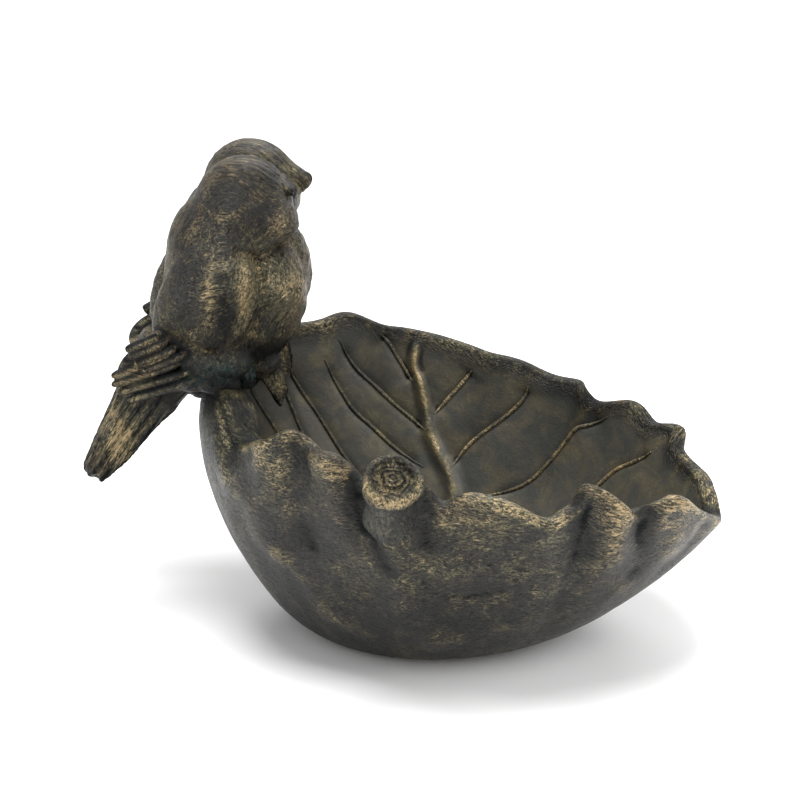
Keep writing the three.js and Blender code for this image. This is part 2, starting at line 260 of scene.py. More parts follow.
def patina(name, dark, warm, gold_share, grain_share, depth):
    """Dark paint, gold brushed over what stands proud, verdigris in the hollows, and painted shade
    darkening the hollows and the low fine grain.

    gold_share is gold everywhere, grain_share how much of it lies in strokes, depth the bump's (m).
    """
    t = Tree(name)
    place = t.place()
    grain = t.attribute("grain", vector=True)
    fine_relief = t.attribute("fine_relief")
    wide_relief = t.attribute("wide_relief")
    gilding = t.attribute("gilding")
    verdigris = t.attribute("verdigris")

    clouds = t.ramp(t.noise(place, 26, 3, 0.5), 0.36, 0.64)
    patches = t.ramp(t.noise(place, 75, 5, 0.62, 0.7), 0.36, 0.66)
    strokes = t.noise(grain, 1.0, 3, 0.6, 1.0)
    scratches = t.noise(grain, 1.9, 2, 0.6, 1.6)
    grit = t.noise(place, 900, 3, 0.6)
    hammered = t.cells(place, 420)
    flecks = t.weigh((strokes, grain_share), (scratches, 0.35), (grit, 0.65 - grain_share))
    flecks = t.ramp(flecks, 0.36, 0.64)
    inside = t.attribute("inside")
    calm = t.times(t.times(inside, 0.4), t.math("SUBTRACT", 0.45, flecks))
    flecks = t.math("ADD", flecks, calm)

    density = t.weigh(
        (t.ramp(fine_relief, -0.15, 0.35), 0.3),
        (t.ramp(wide_relief, -0.8, 2.6), 0.24),
        (patches, 0.38),
        (clouds, 0.14),
        (gilding, 0.6),
    )
    density = t.math("ADD", density, gold_share)
    coverage = t.math("ADD", density, flecks)
    gold = t.ramp(coverage, 0.95, 1.4)
    shine = t.ramp(coverage, 1.32, 1.7)
    base = t.blend(t.ramp(density, 0.1, 0.7), dark, warm)
    base = t.blend(inside, base, t.blend(patches, INSIDE_PAINT, INSIDE_PATCH))
    ochre = t.blend(clouds, OCHRE, OLIVE)
    wash = t.times(t.ramp(gilding, 0.1, 0.9), 0.25)
    colour = t.blend(wash, base, ochre)
    colour = t.blend(t.times(gold, 0.85), colour, ochre)
    colour = t.blend(t.times(shine, 0.85), colour, WORN_GOLD)

    # painted shade: the low fine grain and the hollows, fine and wide, are darkened towards near black in
    # place of the shade they would hold, and lose sheen
    pit_shade = t.times(t.ramp(flecks, 0.5, 0.1), t.ramp(inside, 1.0, 0.0, 0.25, 0.8))
    hollow_shade = t.weigh(
        (t.ramp(fine_relief, -0.03, -0.28), 0.8),
        (t.ramp(wide_relief, -0.6, -2.4), 0.5),
        (pit_shade, 0.7),
    )
    hollow_shade = t.math("MINIMUM", hollow_shade, 1.0)
    # painted shade: the colour goes to near black in the hollows
    colour = t.blend(t.times(hollow_shade, 0.85), colour, HOLLOW_SHADE)
    green = t.times(verdigris, t.ramp(t.weigh((patches, 0.7), (flecks, 0.5)), 0.4, 1.0))
    colour = t.blend(t.times(green, 0.65), colour, VERDIGRIS)
    t.put(t.shader.inputs["Base Color"], colour)

    rough = t.weigh((grit, 0.12), (flecks, 0.08), (hollow_shade, 0.25), (shine, -0.08))
    t.put(t.shader.inputs["Roughness"], t.math("ADD", rough, 0.27, clamp=True))
    t.put(t.shader.inputs["Metallic"], t.ramp(shine, 0.0, 1.0, 0.05, 0.55))
    t.shader.inputs["Specular Tint"].default_value = (1.0, 0.96, 0.88, 1)
    sheen = t.times(t.ramp(hollow_shade, 0.0, 1.0, 0.42, 0.06), t.ramp(gilding, -0.5, 0.0, 0.55, 1.0))
    t.put(t.shader.inputs["Specular IOR Level"], sheen)

    height = t.weigh((strokes, 1.0), (scratches, 0.5), (grit, 0.25), (hammered, -0.4))
    height = t.times(height, t.ramp(inside, 0.0, 1.0, 1.0, 0.2))
    t.put(t.shader.inputs["Normal"], t.bump(height, 1.0, depth))
    return t.material


LEAF = patina("leaf_patina", (0.0052, 0.006, 0.0063, 1), (0.0155, 0.0135, 0.0092, 1), 0.0, 0.45, 0.0006)
PLUMAGE = patina("plumage_patina", (0.0056, 0.0064, 0.007, 1), (0.019, 0.0155, 0.01, 1), 0.06, 0.5, 0.0008)
STEM = patina("stem_patina", (0.006, 0.0065, 0.0066, 1), (0.018, 0.0148, 0.0098, 1), 0.02, 0.45, 0.0009)
PUTTY = patina("putty_patina", (0.006, 0.010, 0.010, 1), (0.012, 0.018, 0.015, 1), -0.25, 0.4, 0.0007)

# ---- leaf bowl

# millimetres; the base and the rim are ovals, and the rim's is turned by RIM_TURN
BASE_Z = 2.3
BASE_HALF = (53.0, 46.0)
RIM_CENTRE = (20.0, -8.0)
RIM_HALF = (119.0, 90.0)
RIM_TURN = math.radians(-14)
WALL = 7.5
FLOOR = 16.0
FLOOR_DISH = 2.0
LIP_ROUND = 3.2
# the wall's profile from a round bowl (0) to a straight slope (1), and how that varies round it
SLOPE = 0.6
SLOPE_CHANGE = 0.03
# the power that a pleat's lift fades with, and how much faster its flare fades inside
LIFT_FADE = 2.5
INNER_FADE = 1.8
# the thicker wall under the birds: its middle and span (degrees), width, the height where it is full,
# the share of it lost at the rim, and the drop of its edge
LEDGE_SPAN = (180, 20, 26)
LEDGE_WIDTH = 20
LEDGE_FULL = 0.9
LEDGE_LOSS = 0.6
LEDGE_DROP = 4

# at, span before and after (degrees), lift, flare (mm), fade
PLEATS = [
    (-176, 28, 28, 1, -16, 9), (-160, 7, 11, -12.5, -1, 3), (-143, 5, 5, 0, 3, 2.5), (-136, 5, 7, 7, 0, 1),
    (-131, 4, 4, -2, -3.5, 4), (-121, 6, 3.5, 4, 3, 3), (-114, 4, 4, -7, -3, 3), (-104, 7, 7, 0, 4, 1.2),
    (-92, 4, 5, -8, -2, 5), (-77, 12, 13, 0, 4, 5), (-66, 7, 5, -6.5, 0, 7), (-60, 4, 4, 0, -2, 4),
    (-56, 2.2, 6, 9.5, 0, 1), (-50, 4, 4, 2, 3, 3), (-42, 5, 2.5, -2, -3.5, 3), (-34, 5, 6, 6, 2, 3),
    (-13, 12, 4, -11.5, 2, 2), (-6, 6, 6, -5, 0, 2), (5, 6, 8, -3, 0, 2), (17, 2.2, 5, 6.5, 4, 4),
    (30, 6, 7, 7.5, 2, 2), (42, 4, 3, 0, -4, 3), (44, 3, 9, 6.5, 0, 2), (64, 9, 9, 2.5, 0, 2),
    (74, 6, 6, 0.5, -2, 2), (107, 4, 4, 0, -2, 2), (117, 6, 6, 4, 2, 2), (148, 15, 15, 1.5, -2, 4),
]


def pleat_weight(angle, at, before, after):
    """1 at a pleat's middle, falling to nothing on both sides of it."""
    away = angle - math.radians(at)
    away = np.arctan2(np.sin(away), np.cos(away))
    span = np.where(away < 0, before, after)
    return np.exp(-((away / np.radians(span)) ** 2))


def rim_sweep(angle):
    """Height of the rim before its pleats: high behind the birds, low at the leaf's tip."""
    return 101 - 19 * np.cos(angle) + 2 * np.sin(angle) - 5 * np.cos(2 * angle) - 2 * np.sin(2 * angle)


def rim_lift(angle):
    return sum(lift * pleat_weight(angle, at, before, after) for at, before, after, lift, _, _ in PLEATS)


def wall_point(angle, up, inner):
    """The bowl's surface. up is 1 at the rim, 0 at the foot of the wall and -1 at the floor's middle."""
    angle, up = np.broadcast_arrays(np.asarray(angle, float), np.asarray(up, float))
    inset, floor = (WALL, FLOOR) if inner else (0.0, 0.0)
    climb = np.clip(up, 0, 1)
    slope = SLOPE + SLOPE_CHANGE * np.cos(angle - RIM_TURN)
    outward = mix(np.sin(climb * np.pi / 2), climb, slope)
    upward = mix(1 - np.cos(climb * np.pi / 2), climb**1.35, slope)
    across = np.hypot(np.cos(angle - RIM_TURN) / RIM_HALF[0], np.sin(angle - RIM_TURN) / RIM_HALF[1])
    radius = 1 / across - inset
    swell, dip = 0.0, 0.0
    if inner:
        ledge = pleat_weight(angle, *LEDGE_SPAN)
        full = smoothstep(0, LEDGE_FULL, climb) * (1 - LEDGE_LOSS * climb**20)
        swell = -LEDGE_WIDTH * ledge * full
        dip = -FLOOR_DISH * (1 - np.clip(1 + up, 0, 1) ** 2) - LEDGE_DROP * ledge * climb**6
    for at, before, after, _, flare, fade in PLEATS:
        share = climb ** (fade * (INNER_FADE if inner else 1))
        swell = swell + flare * pleat_weight(angle, at, before, after) * share
    ray = np.stack([np.cos(angle), np.sin(angle)], -1)
    foot = (1 - inset / BASE_HALF[1]) * np.clip(1 + up, 0, 1)
    base = BASE_CENTRE + foot[..., None] * BASE_HALF * ray
    rim = RIM_CENTRE + radius[..., None] * ray
    flat = mix(base, rim, outward[..., None]) + swell[..., None] * ray
    height = mix(BASE_Z + floor, rim_sweep(angle) - LIP_ROUND, upward) + rim_lift(angle) * climb**LIFT_FADE
    return np.concatenate([flat, (height + dip)[..., None]], -1)


# share of the way from the bowl's middle to its rim, seen from above, that lies on the floor
FLOOR_SHARE = 0.28


def surface_path(points, inner, count):
    """A smooth line on the bowl's surface through points given as (degrees, up)."""
    flat = []
    for degrees, up in points:
        reach = FLOOR_SHARE + (1 - FLOOR_SHARE) * up if up > 0 else FLOOR_SHARE * (1 + up)
        flat.append((reach * math.cos(math.radians(degrees)), reach * math.sin(math.radians(degrees))))
    flat = spline(flat, count)
    reach = np.hypot(flat[:, 0], flat[:, 1])
    angle = np.arctan2(flat[:, 1], flat[:, 0])
    up = np.where(reach > FLOOR_SHARE, (reach - FLOOR_SHARE) / (1 - FLOOR_SHARE), reach / FLOOR_SHARE - 1)
    return wall_point(angle, np.clip(up, -1, 1), inner)


# a stroke: half width at each end (mm), height (below 0 for a groove), gilding, the trough beside it,
# and its path as (degrees, up)
MIDRIB = [
    (1.6, 4.6, 2.4, 0.5, 0.3, [(97, 1), (98.5, 0.96), (99, 0.9), (97, 0.84), (95, 0.75), (93, 0.65),
        (89.5, 0.57), (84.5, 0.48), (81.5, 0.37), (80, 0.1), (80, -0.4),
        (-100, -0.5), (-100, 0.1), (-101, 0.5), (-103, 0.85)]),
]
# gilding and path of the side veins: left of the midrib, right of it, and nearest the camera
VEINS = [
    (-0.12, [(109.5, 0.99), (106.5, 0.96), (103, 0.9), (99.5, 0.84)]),
    (-0.12, [(121, 0.95), (117, 0.85), (111.5, 0.8), (106, 0.75), (100, 0.7), (95, 0.66)]),
    (-0.12, [(126, 0.9), (122, 0.78), (118.5, 0.7), (112.5, 0.64), (105.5, 0.57), (95, 0.5)]),
    (-0.12, [(137, 0.9), (134.5, 0.82), (130.5, 0.72), (127, 0.62), (120.5, 0.46), (108, 0.3), (92, 0.15)]),
    (-0.12, [(140, 0.86), (138, 0.77), (136, 0.62), (132, 0.45)]),
    (-0.12, [(152, 0.9), (148, 0.78), (144, 0.65), (135, 0.35), (120, 0.05), (100, -0.3)]),
    (0.35, [(80, 0.94), (82, 0.9), (84, 0.86), (87, 0.81), (92, 0.73)]),
    (0.35, [(61, 0.95), (62, 0.89), (66.5, 0.8), (74, 0.7), (79.5, 0.62), (84, 0.52)]),
    (0.35, [(35, 0.96), (38, 0.93), (41.5, 0.88), (45, 0.77), (48.5, 0.65), (52.5, 0.55), (58, 0.48),
        (70, 0.4)]),
    (0.35, [(18, 0.9), (22, 0.84), (25.5, 0.77), (28, 0.66), (31, 0.52)]),
    (0.15, [(-12, 0.9), (-6, 0.7), (8, 0.45), (35, 0.2), (70, 0.0)]),
    (0.15, [(-42, 0.85), (-40, 0.6), (-35, 0.3), (-10, -0.1), (60, -0.5)]),
    (0.15, [(-70, 0.85), (-72, 0.6), (-78, 0.3), (-90, 0.0)]),
    (0.15, [(-135, 0.85), (-132, 0.6), (-128, 0.35), (-112, 0.05)]),
    (0.15, [(-165, 0.8), (-165, 0.5), (-165, 0.2), (-150, -0.2), (-110, -0.5)]),
    (0.15, [(176, 0.75), (172, 0.5), (160, 0.15), (130, -0.2)]),
]
# strokes on the outside: thin edges, bulges, creases and dents
FOLDS = [
    (1.0, 1.0, 0.5, 0.45, 0, [(165, 1), (180, 0.99), (-170, 0.985), (-160, 0.99), (-150, 1), (-146, 1)]),
    (9, 10, 0.6, 0.4, 0, [(-142, 0.97), (-138, 0.9), (-135, 0.82)]),
    (7, 8, 1.6, 0.1, 0, [(-166, 0.95), (-160, 0.9), (-150.5, 0.84), (-147.5, 0.69), (-137.5, 0.59),
        (-130, 0.42), (-118, 0.36)]),
    (5, 5, -1.2, -0.2, 0, [(-133, 1), (-133.5, 0.92), (-134, 0.84), (-131, 0.7)]),
    (7, 8, 1.4, 0.15, 0, [(-125, 1), (-121, 0.97), (-119, 0.92), (-117, 0.84), (-112, 0.7)]),
    (4, 5, -1.4, -0.3, 0, [(-115.5, 1), (-114.5, 0.9), (-110, 0.82), (-106, 0.72)]),
    (9, 12, 3.5, -0.1, 0, [(-104, 0.98), (-105, 0.83), (-102, 0.7), (-97, 0.56), (-92, 0.4)]),
    (4, 6, -1.2, -0.3, 0, [(-96, 1), (-96, 0.92), (-95.5, 0.84)]),
    (9, 10, 1.0, 0.25, 0, [(-97, 0.8), (-92, 0.76), (-86, 0.74)]),
    (9, 8, 1.4, 0.1, 0, [(-90, 0.96), (-85, 0.95), (-79, 0.955)]),
    (2.4, 2.4, -0.6, 0.1, -0.8, [(-96, 0.69), (-92, 0.65), (-86, 0.615), (-81, 0.62), (-74, 0.66)]),
    (2.4, 2.4, -0.5, 0.1, -0.8, [(-86, 0.79), (-80, 0.775), (-72, 0.78), (-66, 0.78), (-60, 0.74)]),
    (2.5, 2.5, 0.5, 0.2, 0, [(-78, 1), (-70, 1), (-62, 1), (-59, 1)]),
    (6, 8, -0.8, -0.3, 0, [(-58, 0.97), (-57, 0.9), (-55, 0.8)]),
    (10, 9, 1.2, 0.25, 0, [(-50, 0.97), (-48, 0.9), (-47, 0.8)]),
    (5, 6, -1.6, -0.3, 0, [(-41, 1), (-41, 0.92), (-39, 0.83), (-37, 0.7)]),
    (9, 9, 1.2, 0.25, 0, [(-33, 0.96), (-31, 0.9), (-30, 0.82)]),
    (5, 6, -1.0, 0, 0, [(-22, 0.95), (-22, 0.85), (-24, 0.7)]),
    (5, 6, -1.6, 0, 0, [(9, 0.98), (8, 0.86), (2, 0.7)]),
    (6, 7, 1.4, 0.1, 0, [(18, 0.98), (17, 0.88), (14, 0.74)]),
    (5, 7, -1.6, 0, 0, [(43, 1), (43, 0.88), (40, 0.7), (36, 0.55)]),
    (8, 8, 1.4, 0.1, 0, [(52, 0.98), (52, 0.86), (50, 0.7)]),
    (5, 6, -1.4, 0, 0, [(75, 1), (75, 0.86), (78, 0.68)]),
    (8, 8, 1.4, 0.1, 0, [(92, 0.97), (92, 0.82), (90, 0.6), (88, 0.4)]),
    (5, 6, -1.5, 0, 0, [(107, 1), (107, 0.88), (104, 0.7)]),
    (8, 8, 1.4, 0.1, 0, [(120, 0.98), (121, 0.86), (119, 0.68)]),
    (5, 6, -1.2, 0, 0, [(140, 0.98), (142, 0.82), (144, 0.62)]),
    (8, 8, 1.2, 0.1, 0, [(160, 0.9), (164, 0.72), (170, 0.5)]),
]


def grid_normals(grid):
    """Directions square to a grid whose columns go round the bowl."""
    along = np.roll(grid, -1, 1) - np.roll(grid, 1, 1)
    over = np.gradient(grid, axis=0)
    normal = np.cross(along, over)
    length = np.linalg.norm(normal, axis=-1, keepdims=True)
    return normal / np.maximum(length, 1e-9)


# points on a stroke's line for each point of its path, and its reach in half widths
LINE_POINTS = 30
STROKE_REACH = 4


def carve(grid, strokes, inner):
    """How far each point of the grid moves out, and how much gold it gains, from strokes drawn on it."""
    height = np.zeros(grid.shape[:2])
    gilding = np.zeros(grid.shape[:2])
    for start, end, rise, gild, trough, path in strokes:
        line = surface_path(path, inner, LINE_POINTS * len(path))
        widths = np.linspace(start, end, len(line))
        reach = STROKE_REACH * max(start, end)
        low, high = line.min(0) - reach, line.max(0) + reach
        rows, columns = np.nonzero(((grid > low) & (grid < high)).all(-1))
        best, index = nearest_on(line, grid[rows, columns])
        away = np.sqrt(best) / widths[index]
        share = index / (len(line) - 1)
        taper = 1.0
        if inner:
            taper = 0.15 + 0.85 * smoothstep(0, 0.12, share) * smoothstep(0, 0.1, 1 - share)
        ridge = np.exp(-(away**2))
        side = np.exp(-((away - 1.9) ** 2 * 1.6))
        height[rows, columns] += rise * taper * (ridge - trough * 0.5 * side)
        gilding[rows, columns] += gild * taper * ridge
    return height, gilding


COLUMNS = 576
ANGLES = np.linspace(0, 2 * np.pi, COLUMNS, endpoint=False)

# rows of the grid, from the middle of the underside over the rim to the middle of the floor
UNDER_ROWS = 4
OUTER_ROWS = 62
LIP_ROWS = 8
INNER_ROWS = 82
DISH_ROWS = 14

under = wall_point(ANGLES, np.linspace(-1, 0, UNDER_ROWS + 2)[1:-1, None], False)
outer = wall_point(ANGLES, np.linspace(0, 1, OUTER_ROWS)[:, None], False)
inner = wall_point(ANGLES, np.linspace(1, 0, INNER_ROWS)[:, None], True)
dish = wall_point(ANGLES, np.linspace(0, -1, DISH_ROWS + 2)[1:-1, None], True)
inside = np.concatenate([inner, dish])

outer_normals = grid_normals(outer)
inside_normals = grid_normals(inside)
outer_height, outer_gilding = carve(outer, FOLDS, False)
wide_troughs = [(7, 7, -0.8, 0.0, 0, path) for _, path in VEINS]
# the narrow trough along each vein is also painted darker, painted shade in the groove beside the rib
narrow_shaded_troughs = [(1.7, 1.7, -0.8, -0.2, 0, path) for _, path in VEINS]
inside_height, inside_gilding = carve(inside, MIDRIB + wide_troughs + narrow_shaded_troughs, True)
outer_height += 0.7 * layered(outer / 16, 3, 5) * np.linspace(0, 1, OUTER_ROWS)[:, None] ** 0.3
inside_height += 0.35 * layered(inside / 18, 3, 9)
outer = outer + outer_normals * outer_height[..., None]
inside = inside + inside_normals * inside_height[..., None]

lip_turn = (np.arange(LIP_ROWS) + 1) / (LIP_ROWS + 1) * np.pi
across = (1 - np.cos(lip_turn))[:, None, None] / 2
lip = mix(outer[-1][None], inside[0][None], across)
lip[..., 2] += LIP_ROUND * np.sin(lip_turn)[:, None]
# the lip is darker on the far side and under the birds, with a bright patch beside them
far_side = smoothstep(-0.3, 0.5, np.sin(ANGLES + 0.3))
lip_gilding = mix(outer_gilding[-1][None], inside_gilding[0][None], across[..., 0])
lip_gilding -= 0.36 * far_side + 0.3 * pleat_weight(ANGLES, 180, 24, 24) + 0.05
lip_gilding += 0.75 * pleat_weight(ANGLES, -177, 4, 7) * np.sin(lip_turn)[:, None]

grid = np.concatenate([under, outer, lip, inside])
gilding = np.concatenate([np.zeros(under.shape[:2]), outer_gilding, lip_gilding, inside_gilding])
rows = len(grid)
first, last = (*BASE_CENTRE, BASE_Z), (*BASE_CENTRE, grid[-1, :, 2].max())
points = np.vstack([first, grid.reshape(-1, 3), last])
number = 1 + np.arange(rows * COLUMNS).reshape(rows, COLUMNS)
beside = np.roll(number, -1, 1)
quads = np.stack([number[:-1], beside[:-1], beside[1:], number[1:]], -1).reshape(-1, 4)
bottom_fan = np.stack([np.zeros(COLUMNS, int), beside[0], number[0]], 1)
top_fan = np.stack([np.full(COLUMNS, len(points) - 1), number[-1], beside[-1]], 1)
faces = quads.tolist() + bottom_fan.tolist() + top_fan.tolist()

# the brush strokes run round the bowl, so the grain is stretched that way (mm for one stroke)
GIRTH = 105
STROKE_LENGTH = 2.7
STROKE_WIDTH = 0.85
steps = np.linalg.norm(np.diff(grid, axis=0), axis=-1)
arc = np.concatenate([np.zeros((1, COLUMNS)), np.cumsum(steps, 0)])
grain = np.stack(
    [
        np.broadcast_to(np.cos(ANGLES) * GIRTH / STROKE_LENGTH, arc.shape),
        np.broadcast_to(np.sin(ANGLES) * GIRTH / STROKE_LENGTH, arc.shape),
        arc / STROKE_WIDTH + 7.0 * layered(grid / 26, 3, 13),
    ],
    -1,
)

# the look of the inside comes in over a few rows below the rim
INSIDE_ROWS = 6
past_rim = np.arange(rows) - (rows - len(inside))
inside_share = np.clip((past_rim + 1) / INSIDE_ROWS, 0, 1)
inside_share = np.broadcast_to(inside_share[:, None], gilding.shape)
inside_rows = past_rim > INSIDE_ROWS

# less gold inside and on the wide shoulder under the birds; low on the wall and on the left, less gold and
# less sheen as painted shade, since the light only grazes the left wall and the lower wall faces down
low_wall_shade = smoothstep(75, 15, grid[..., 2]) * ~inside_rows[:, None]
shoulder = smoothstep(80, 100, grid[..., 2]) * pleat_weight(ANGLES, 186, 26, 18)
# painted shade: the left wall and the low wall are darkened through their gilding
left_wall_shade = pleat_weight(ANGLES, -172, 24, 42)
gilding = gilding - 0.1 * inside_rows[:, None] - 0.16 * low_wall_shade - 0.26 * left_wall_shade - 0.35 * shoulder - 0.04


def with_ends(values):
    """One value more at each end, for the middle of the underside and the middle of the floor."""
    flat = values.reshape(-1, *values.shape[2:])
    return np.concatenate([flat[:1], flat, flat[-1:]])


attributes = {"grain": with_ends(grain), "gilding": with_ends(gilding), "inside": with_ends(inside_share)}
make_piece("leaf_bowl_casting", points, faces, attributes, LEAF, ["leaf_bowl"])

RIB_SIDES = 10
RIB_TURNS = np.linspace(0, 2 * np.pi, RIB_SIDES, endpoint=False)
# points on a rib for each span of its path, and rounds of smoothing its line and its depth
RIB_POINTS = 34
LINE_ROUNDS = 160
DEPTH_ROUNDS = 6
# half width and height at the ends and in the middle, and how far the ribs stand proud (mm)
RIB_HALF_WIDTHS = (0.35, 0.95)
RIB_HEIGHTS = (0.15, 0.85)
RIB_PROUD = 0.3
# a point above the floor that the ribs' upper sides face
ABOVE_FLOOR = np.array((0, 0, 140))


def vein_ribs():
    """Narrow round ribs laid along the side veins, sunk halfway into the bowl's inner surface."""
    points, faces, gildings = [], [], []
    flat_inside = inside.reshape(-1, 3)
    flat_normals = inside_normals.reshape(-1, 3)
    for gild, path in VEINS:
        count = RIB_POINTS * (len(path) - 1)
        line = surface_path(path, True, count)
        for _ in range(LINE_ROUNDS):
            line[1:-1] = 0.25 * line[:-2] + 0.5 * line[1:-1] + 0.25 * line[2:]
        nearest = np.array([((flat_inside - spot) ** 2).sum(1).argmin() for spot in line])
        normal = flat_normals[nearest]
        normal = normal * np.sign((normal * (ABOVE_FLOOR - line)).sum(1))[:, None]
        depth = ((flat_inside[nearest] - line) * normal).sum(1)
        for _ in range(DEPTH_ROUNDS):
            depth = np.convolve(np.pad(depth, 1, mode="edge"), (0.25, 0.5, 0.25), "valid")
        line = line + normal * (depth[:, None] + RIB_PROUD)
        along = np.gradient(line, axis=0)
        beside = np.cross(along, normal)
        beside /= np.linalg.norm(beside, axis=1, keepdims=True)
        share = np.linspace(0, 1, count)
        swell = smoothstep(0, 0.25, share) * smoothstep(1, 0.8, share)
        wobble = 1 + 0.1 * noise(line / 5, 19)
        half_width = mix(*RIB_HALF_WIDTHS, swell) * wobble
        height = mix(*RIB_HEIGHTS, swell) * wobble
        round_it = RIB_TURNS[:, None]
        rings = line[:, None] + np.cos(round_it) * beside[:, None] * half_width[:, None, None]
        rings = rings + np.sin(round_it) * normal[:, None] * height[:, None, None]
        number = sum(map(len, points)) + np.arange(count * RIB_SIDES).reshape(count, RIB_SIDES)
        after = np.roll(number, -1, 1)
        faces += np.stack([number[:-1], number[1:], after[1:], after[:-1]], -1).reshape(-1, 4).tolist()
        faces += [number[0].tolist(), number[-1, ::-1].tolist()]
        points.append(rings.reshape(-1, 3))
        gildings.append(np.full(len(points[-1]), gild))
    points = np.concatenate(points)
    attributes = {"grain": points / 1.2, "gilding": np.concatenate(gildings)}
    return points, faces, attributes | {"inside": np.full(len(points), 0.6)}


rib_points, rib_faces, rib_attributes = vein_ribs()
make_piece("leaf_bowl_veins", rib_points, rib_faces, rib_attributes, LEAF, [])

# ---- solids worked out on a grid of distances

def axes(tilt, toe=0.0):
    """Rows are where a shape's own x, y and z point. tilt raises x, and toe turns it to +y."""
    a, b = math.radians(tilt), math.radians(toe)
    x = np.array([math.cos(a) * math.cos(b), math.cos(a) * math.sin(b), math.sin(a)])
    y = np.array([-math.sin(b), math.cos(b), 0.0])
    return np.array([x, y, np.cross(x, y)])


def join(a, b, soft):
    """The union of two distances, with the corner between them filled softly."""
    h = np.maximum(soft - np.abs(a - b), 0) / soft
    return np.minimum(a, b) - h * h * soft / 4


# what a grid holds far from any shape (mm), and how many steps from the surface are kept
FAR_AWAY = 30.0
BAND = 5.0


class Field:
    """Distances to a surface on a grid of points. Shapes are joined to it, each in its own box."""

    def __init__(self, low, high, step):
        self.low = np.array(low, float)
        self.step = step
        counts = np.ceil((np.array(high) - self.low) / step).astype(int) + 1
        self.lines = [self.low[k] + step * np.arange(counts[k]) for k in range(3)]
        self.values = np.full(counts, FAR_AWAY, np.float32)

    def window(self, low, high):
        """The part of the grid inside a box, and its points."""
        part = tuple(slice(*np.searchsorted(line, ends)) for line, *ends in zip(self.lines, low, high))
        points = np.meshgrid(*[line[cut] for line, cut in zip(self.lines, part)], indexing="ij")
        return part, np.stack(points, -1).astype(np.float32)

    def add(self, shape, low, high, soft, hollow=False):
        reach = soft + 3 * self.step
        part, p = self.window(np.array(low) - reach, np.array(high) + reach)
        if hollow:
            self.values[part] = -join(-self.values[part], shape(p), soft)
        else:
            self.values[part] = join(self.values[part], shape(p), soft)

    def blob(self, centre, radii, turn, soft, hollow=False):
        """An ellipsoid."""
        centre = np.array(centre, np.float32)
        radii = np.array(radii, np.float32)

        def shape(p):
            q = p - centre
            if turn is not None:
                q = q @ turn.T.astype(np.float32)
            k0 = np.sqrt(((q / radii) ** 2).sum(-1))
            k1 = np.sqrt(((q / radii**2) ** 2).sum(-1))
            return k0 * (k0 - 1) / np.maximum(k1, 1e-6)

        spread = radii if turn is None else np.abs(turn.T) @ radii
        self.add(shape, centre - spread, centre + spread, soft, hollow)

    def rod(self, start, end, r_start, r_end, soft):
        """A rod with round ends and a radius that changes along it."""
        start, end = np.array(start, np.float32), np.array(end, np.float32)
        line = end - start

        def shape(p):
            t = np.clip(((p - start) @ line) / (line @ line), 0, 1)
            return np.linalg.norm(p - start - t[..., None] * line, axis=-1) - mix(r_start, r_end, t)

        reach = max(r_start, r_end)
        self.add(shape, np.minimum(start, end) - reach, np.maximum(start, end) + reach, soft)

    def feather(self, root, tip, width, thickness, face, soft):
        """A flat blade with a blunt round tip. face is the direction its flat side looks."""
        root, tip = np.array(root, np.float32), np.array(tip, np.float32)
        half = np.linalg.norm(tip - root) / 2
        x = (tip - root) / (2 * half)
        z = np.array(face, float) - np.dot(face, x) * x
        z /= np.linalg.norm(z)
        y = np.cross(z, x)

        def shape(p):
            q = p - (root + tip) / 2
            u, v, w = np.abs(q @ x) / half, np.abs(q @ y) / width, np.abs(q @ z) / thickness
            return ((u**6 + v**2.4 + w**2.4) ** (1 / 2.4) - 1) * width

        self.add(shape, np.minimum(root, tip) - width, np.maximum(root, tip) + width, soft)

    def crease(self, path, width, depth, beyond):
        """A valley on both flanks along a line given in side view as (x, z)."""
        line = spline(path, 12 * len(path))
        reach = 3 * width
        low, high = line.min(0) - reach, line.max(0) + reach
        part, p = self.window((low[0], -99, low[1]), (high[0], 99, high[1]))
        side_view = p[:, 0, :, :][..., [0, 2]]
        best, index = nearest_on(line, side_view)
        fade = np.minimum(index, len(line) - 1 - index) / len(line)
        valley = depth * np.exp(-best / width**2) * smoothstep(0, 0.18, fade)
        flank = smoothstep(beyond - 4, beyond, np.abs(p[..., 1]))
        self.values[part] += (valley[:, None, :] * flank).astype(np.float32)

    def merge(self, other, soft):
        """Joins a smaller field with the same step."""
        start = np.round((other.low - self.low) / self.step).astype(int)
        end = np.minimum(start + other.values.shape, self.values.shape)
        part = tuple(slice(*pair) for pair in zip(start, end))
        trimmed = other.values[tuple(slice(0, size) for size in end - start)]
        self.values[part] = join(self.values[part], trimmed, soft)

    def surface(self):
        """Points and faces where the distance is 0."""
        values = np.clip(self.values / self.step, -BAND, BAND).astype(np.float32)
        volume = openvdb.FloatGrid()
        volume.background = BAND
        volume.copyFromArray(values)
        vertices, triangles, quads = volume.convertToPolygons(isovalue=0.0, adaptivity=0.0)
        faces = [face[::-1] for face in quads.tolist() + triangles.tolist()]
        return vertices.astype(float) * self.step + self.low, faces


def normals_of(points, faces):
    raw = bpy.data.meshes.new("raw")
    raw.from_pydata(points, [], faces)
    normals = mesh_normals(raw)
    bpy.data.meshes.remove(raw)
    return normals


# ---- birds

# A bird's own frame, in millimetres: x to its front, y to its left, z up from its perch.
SIDES = (-1, 1)
TAIL_START = np.array((-26, 0, 10), np.float32)
TAIL_END = np.array((-62.5, 0, -43), np.float32)
TAIL_LENGTH = np.linalg.norm(TAIL_END - TAIL_START)
TAIL_ALONG = (TAIL_END - TAIL_START) / TAIL_LENGTH
TAIL_OVER = np.array((TAIL_ALONG[2], 0, -TAIL_ALONG[0]), np.float32)

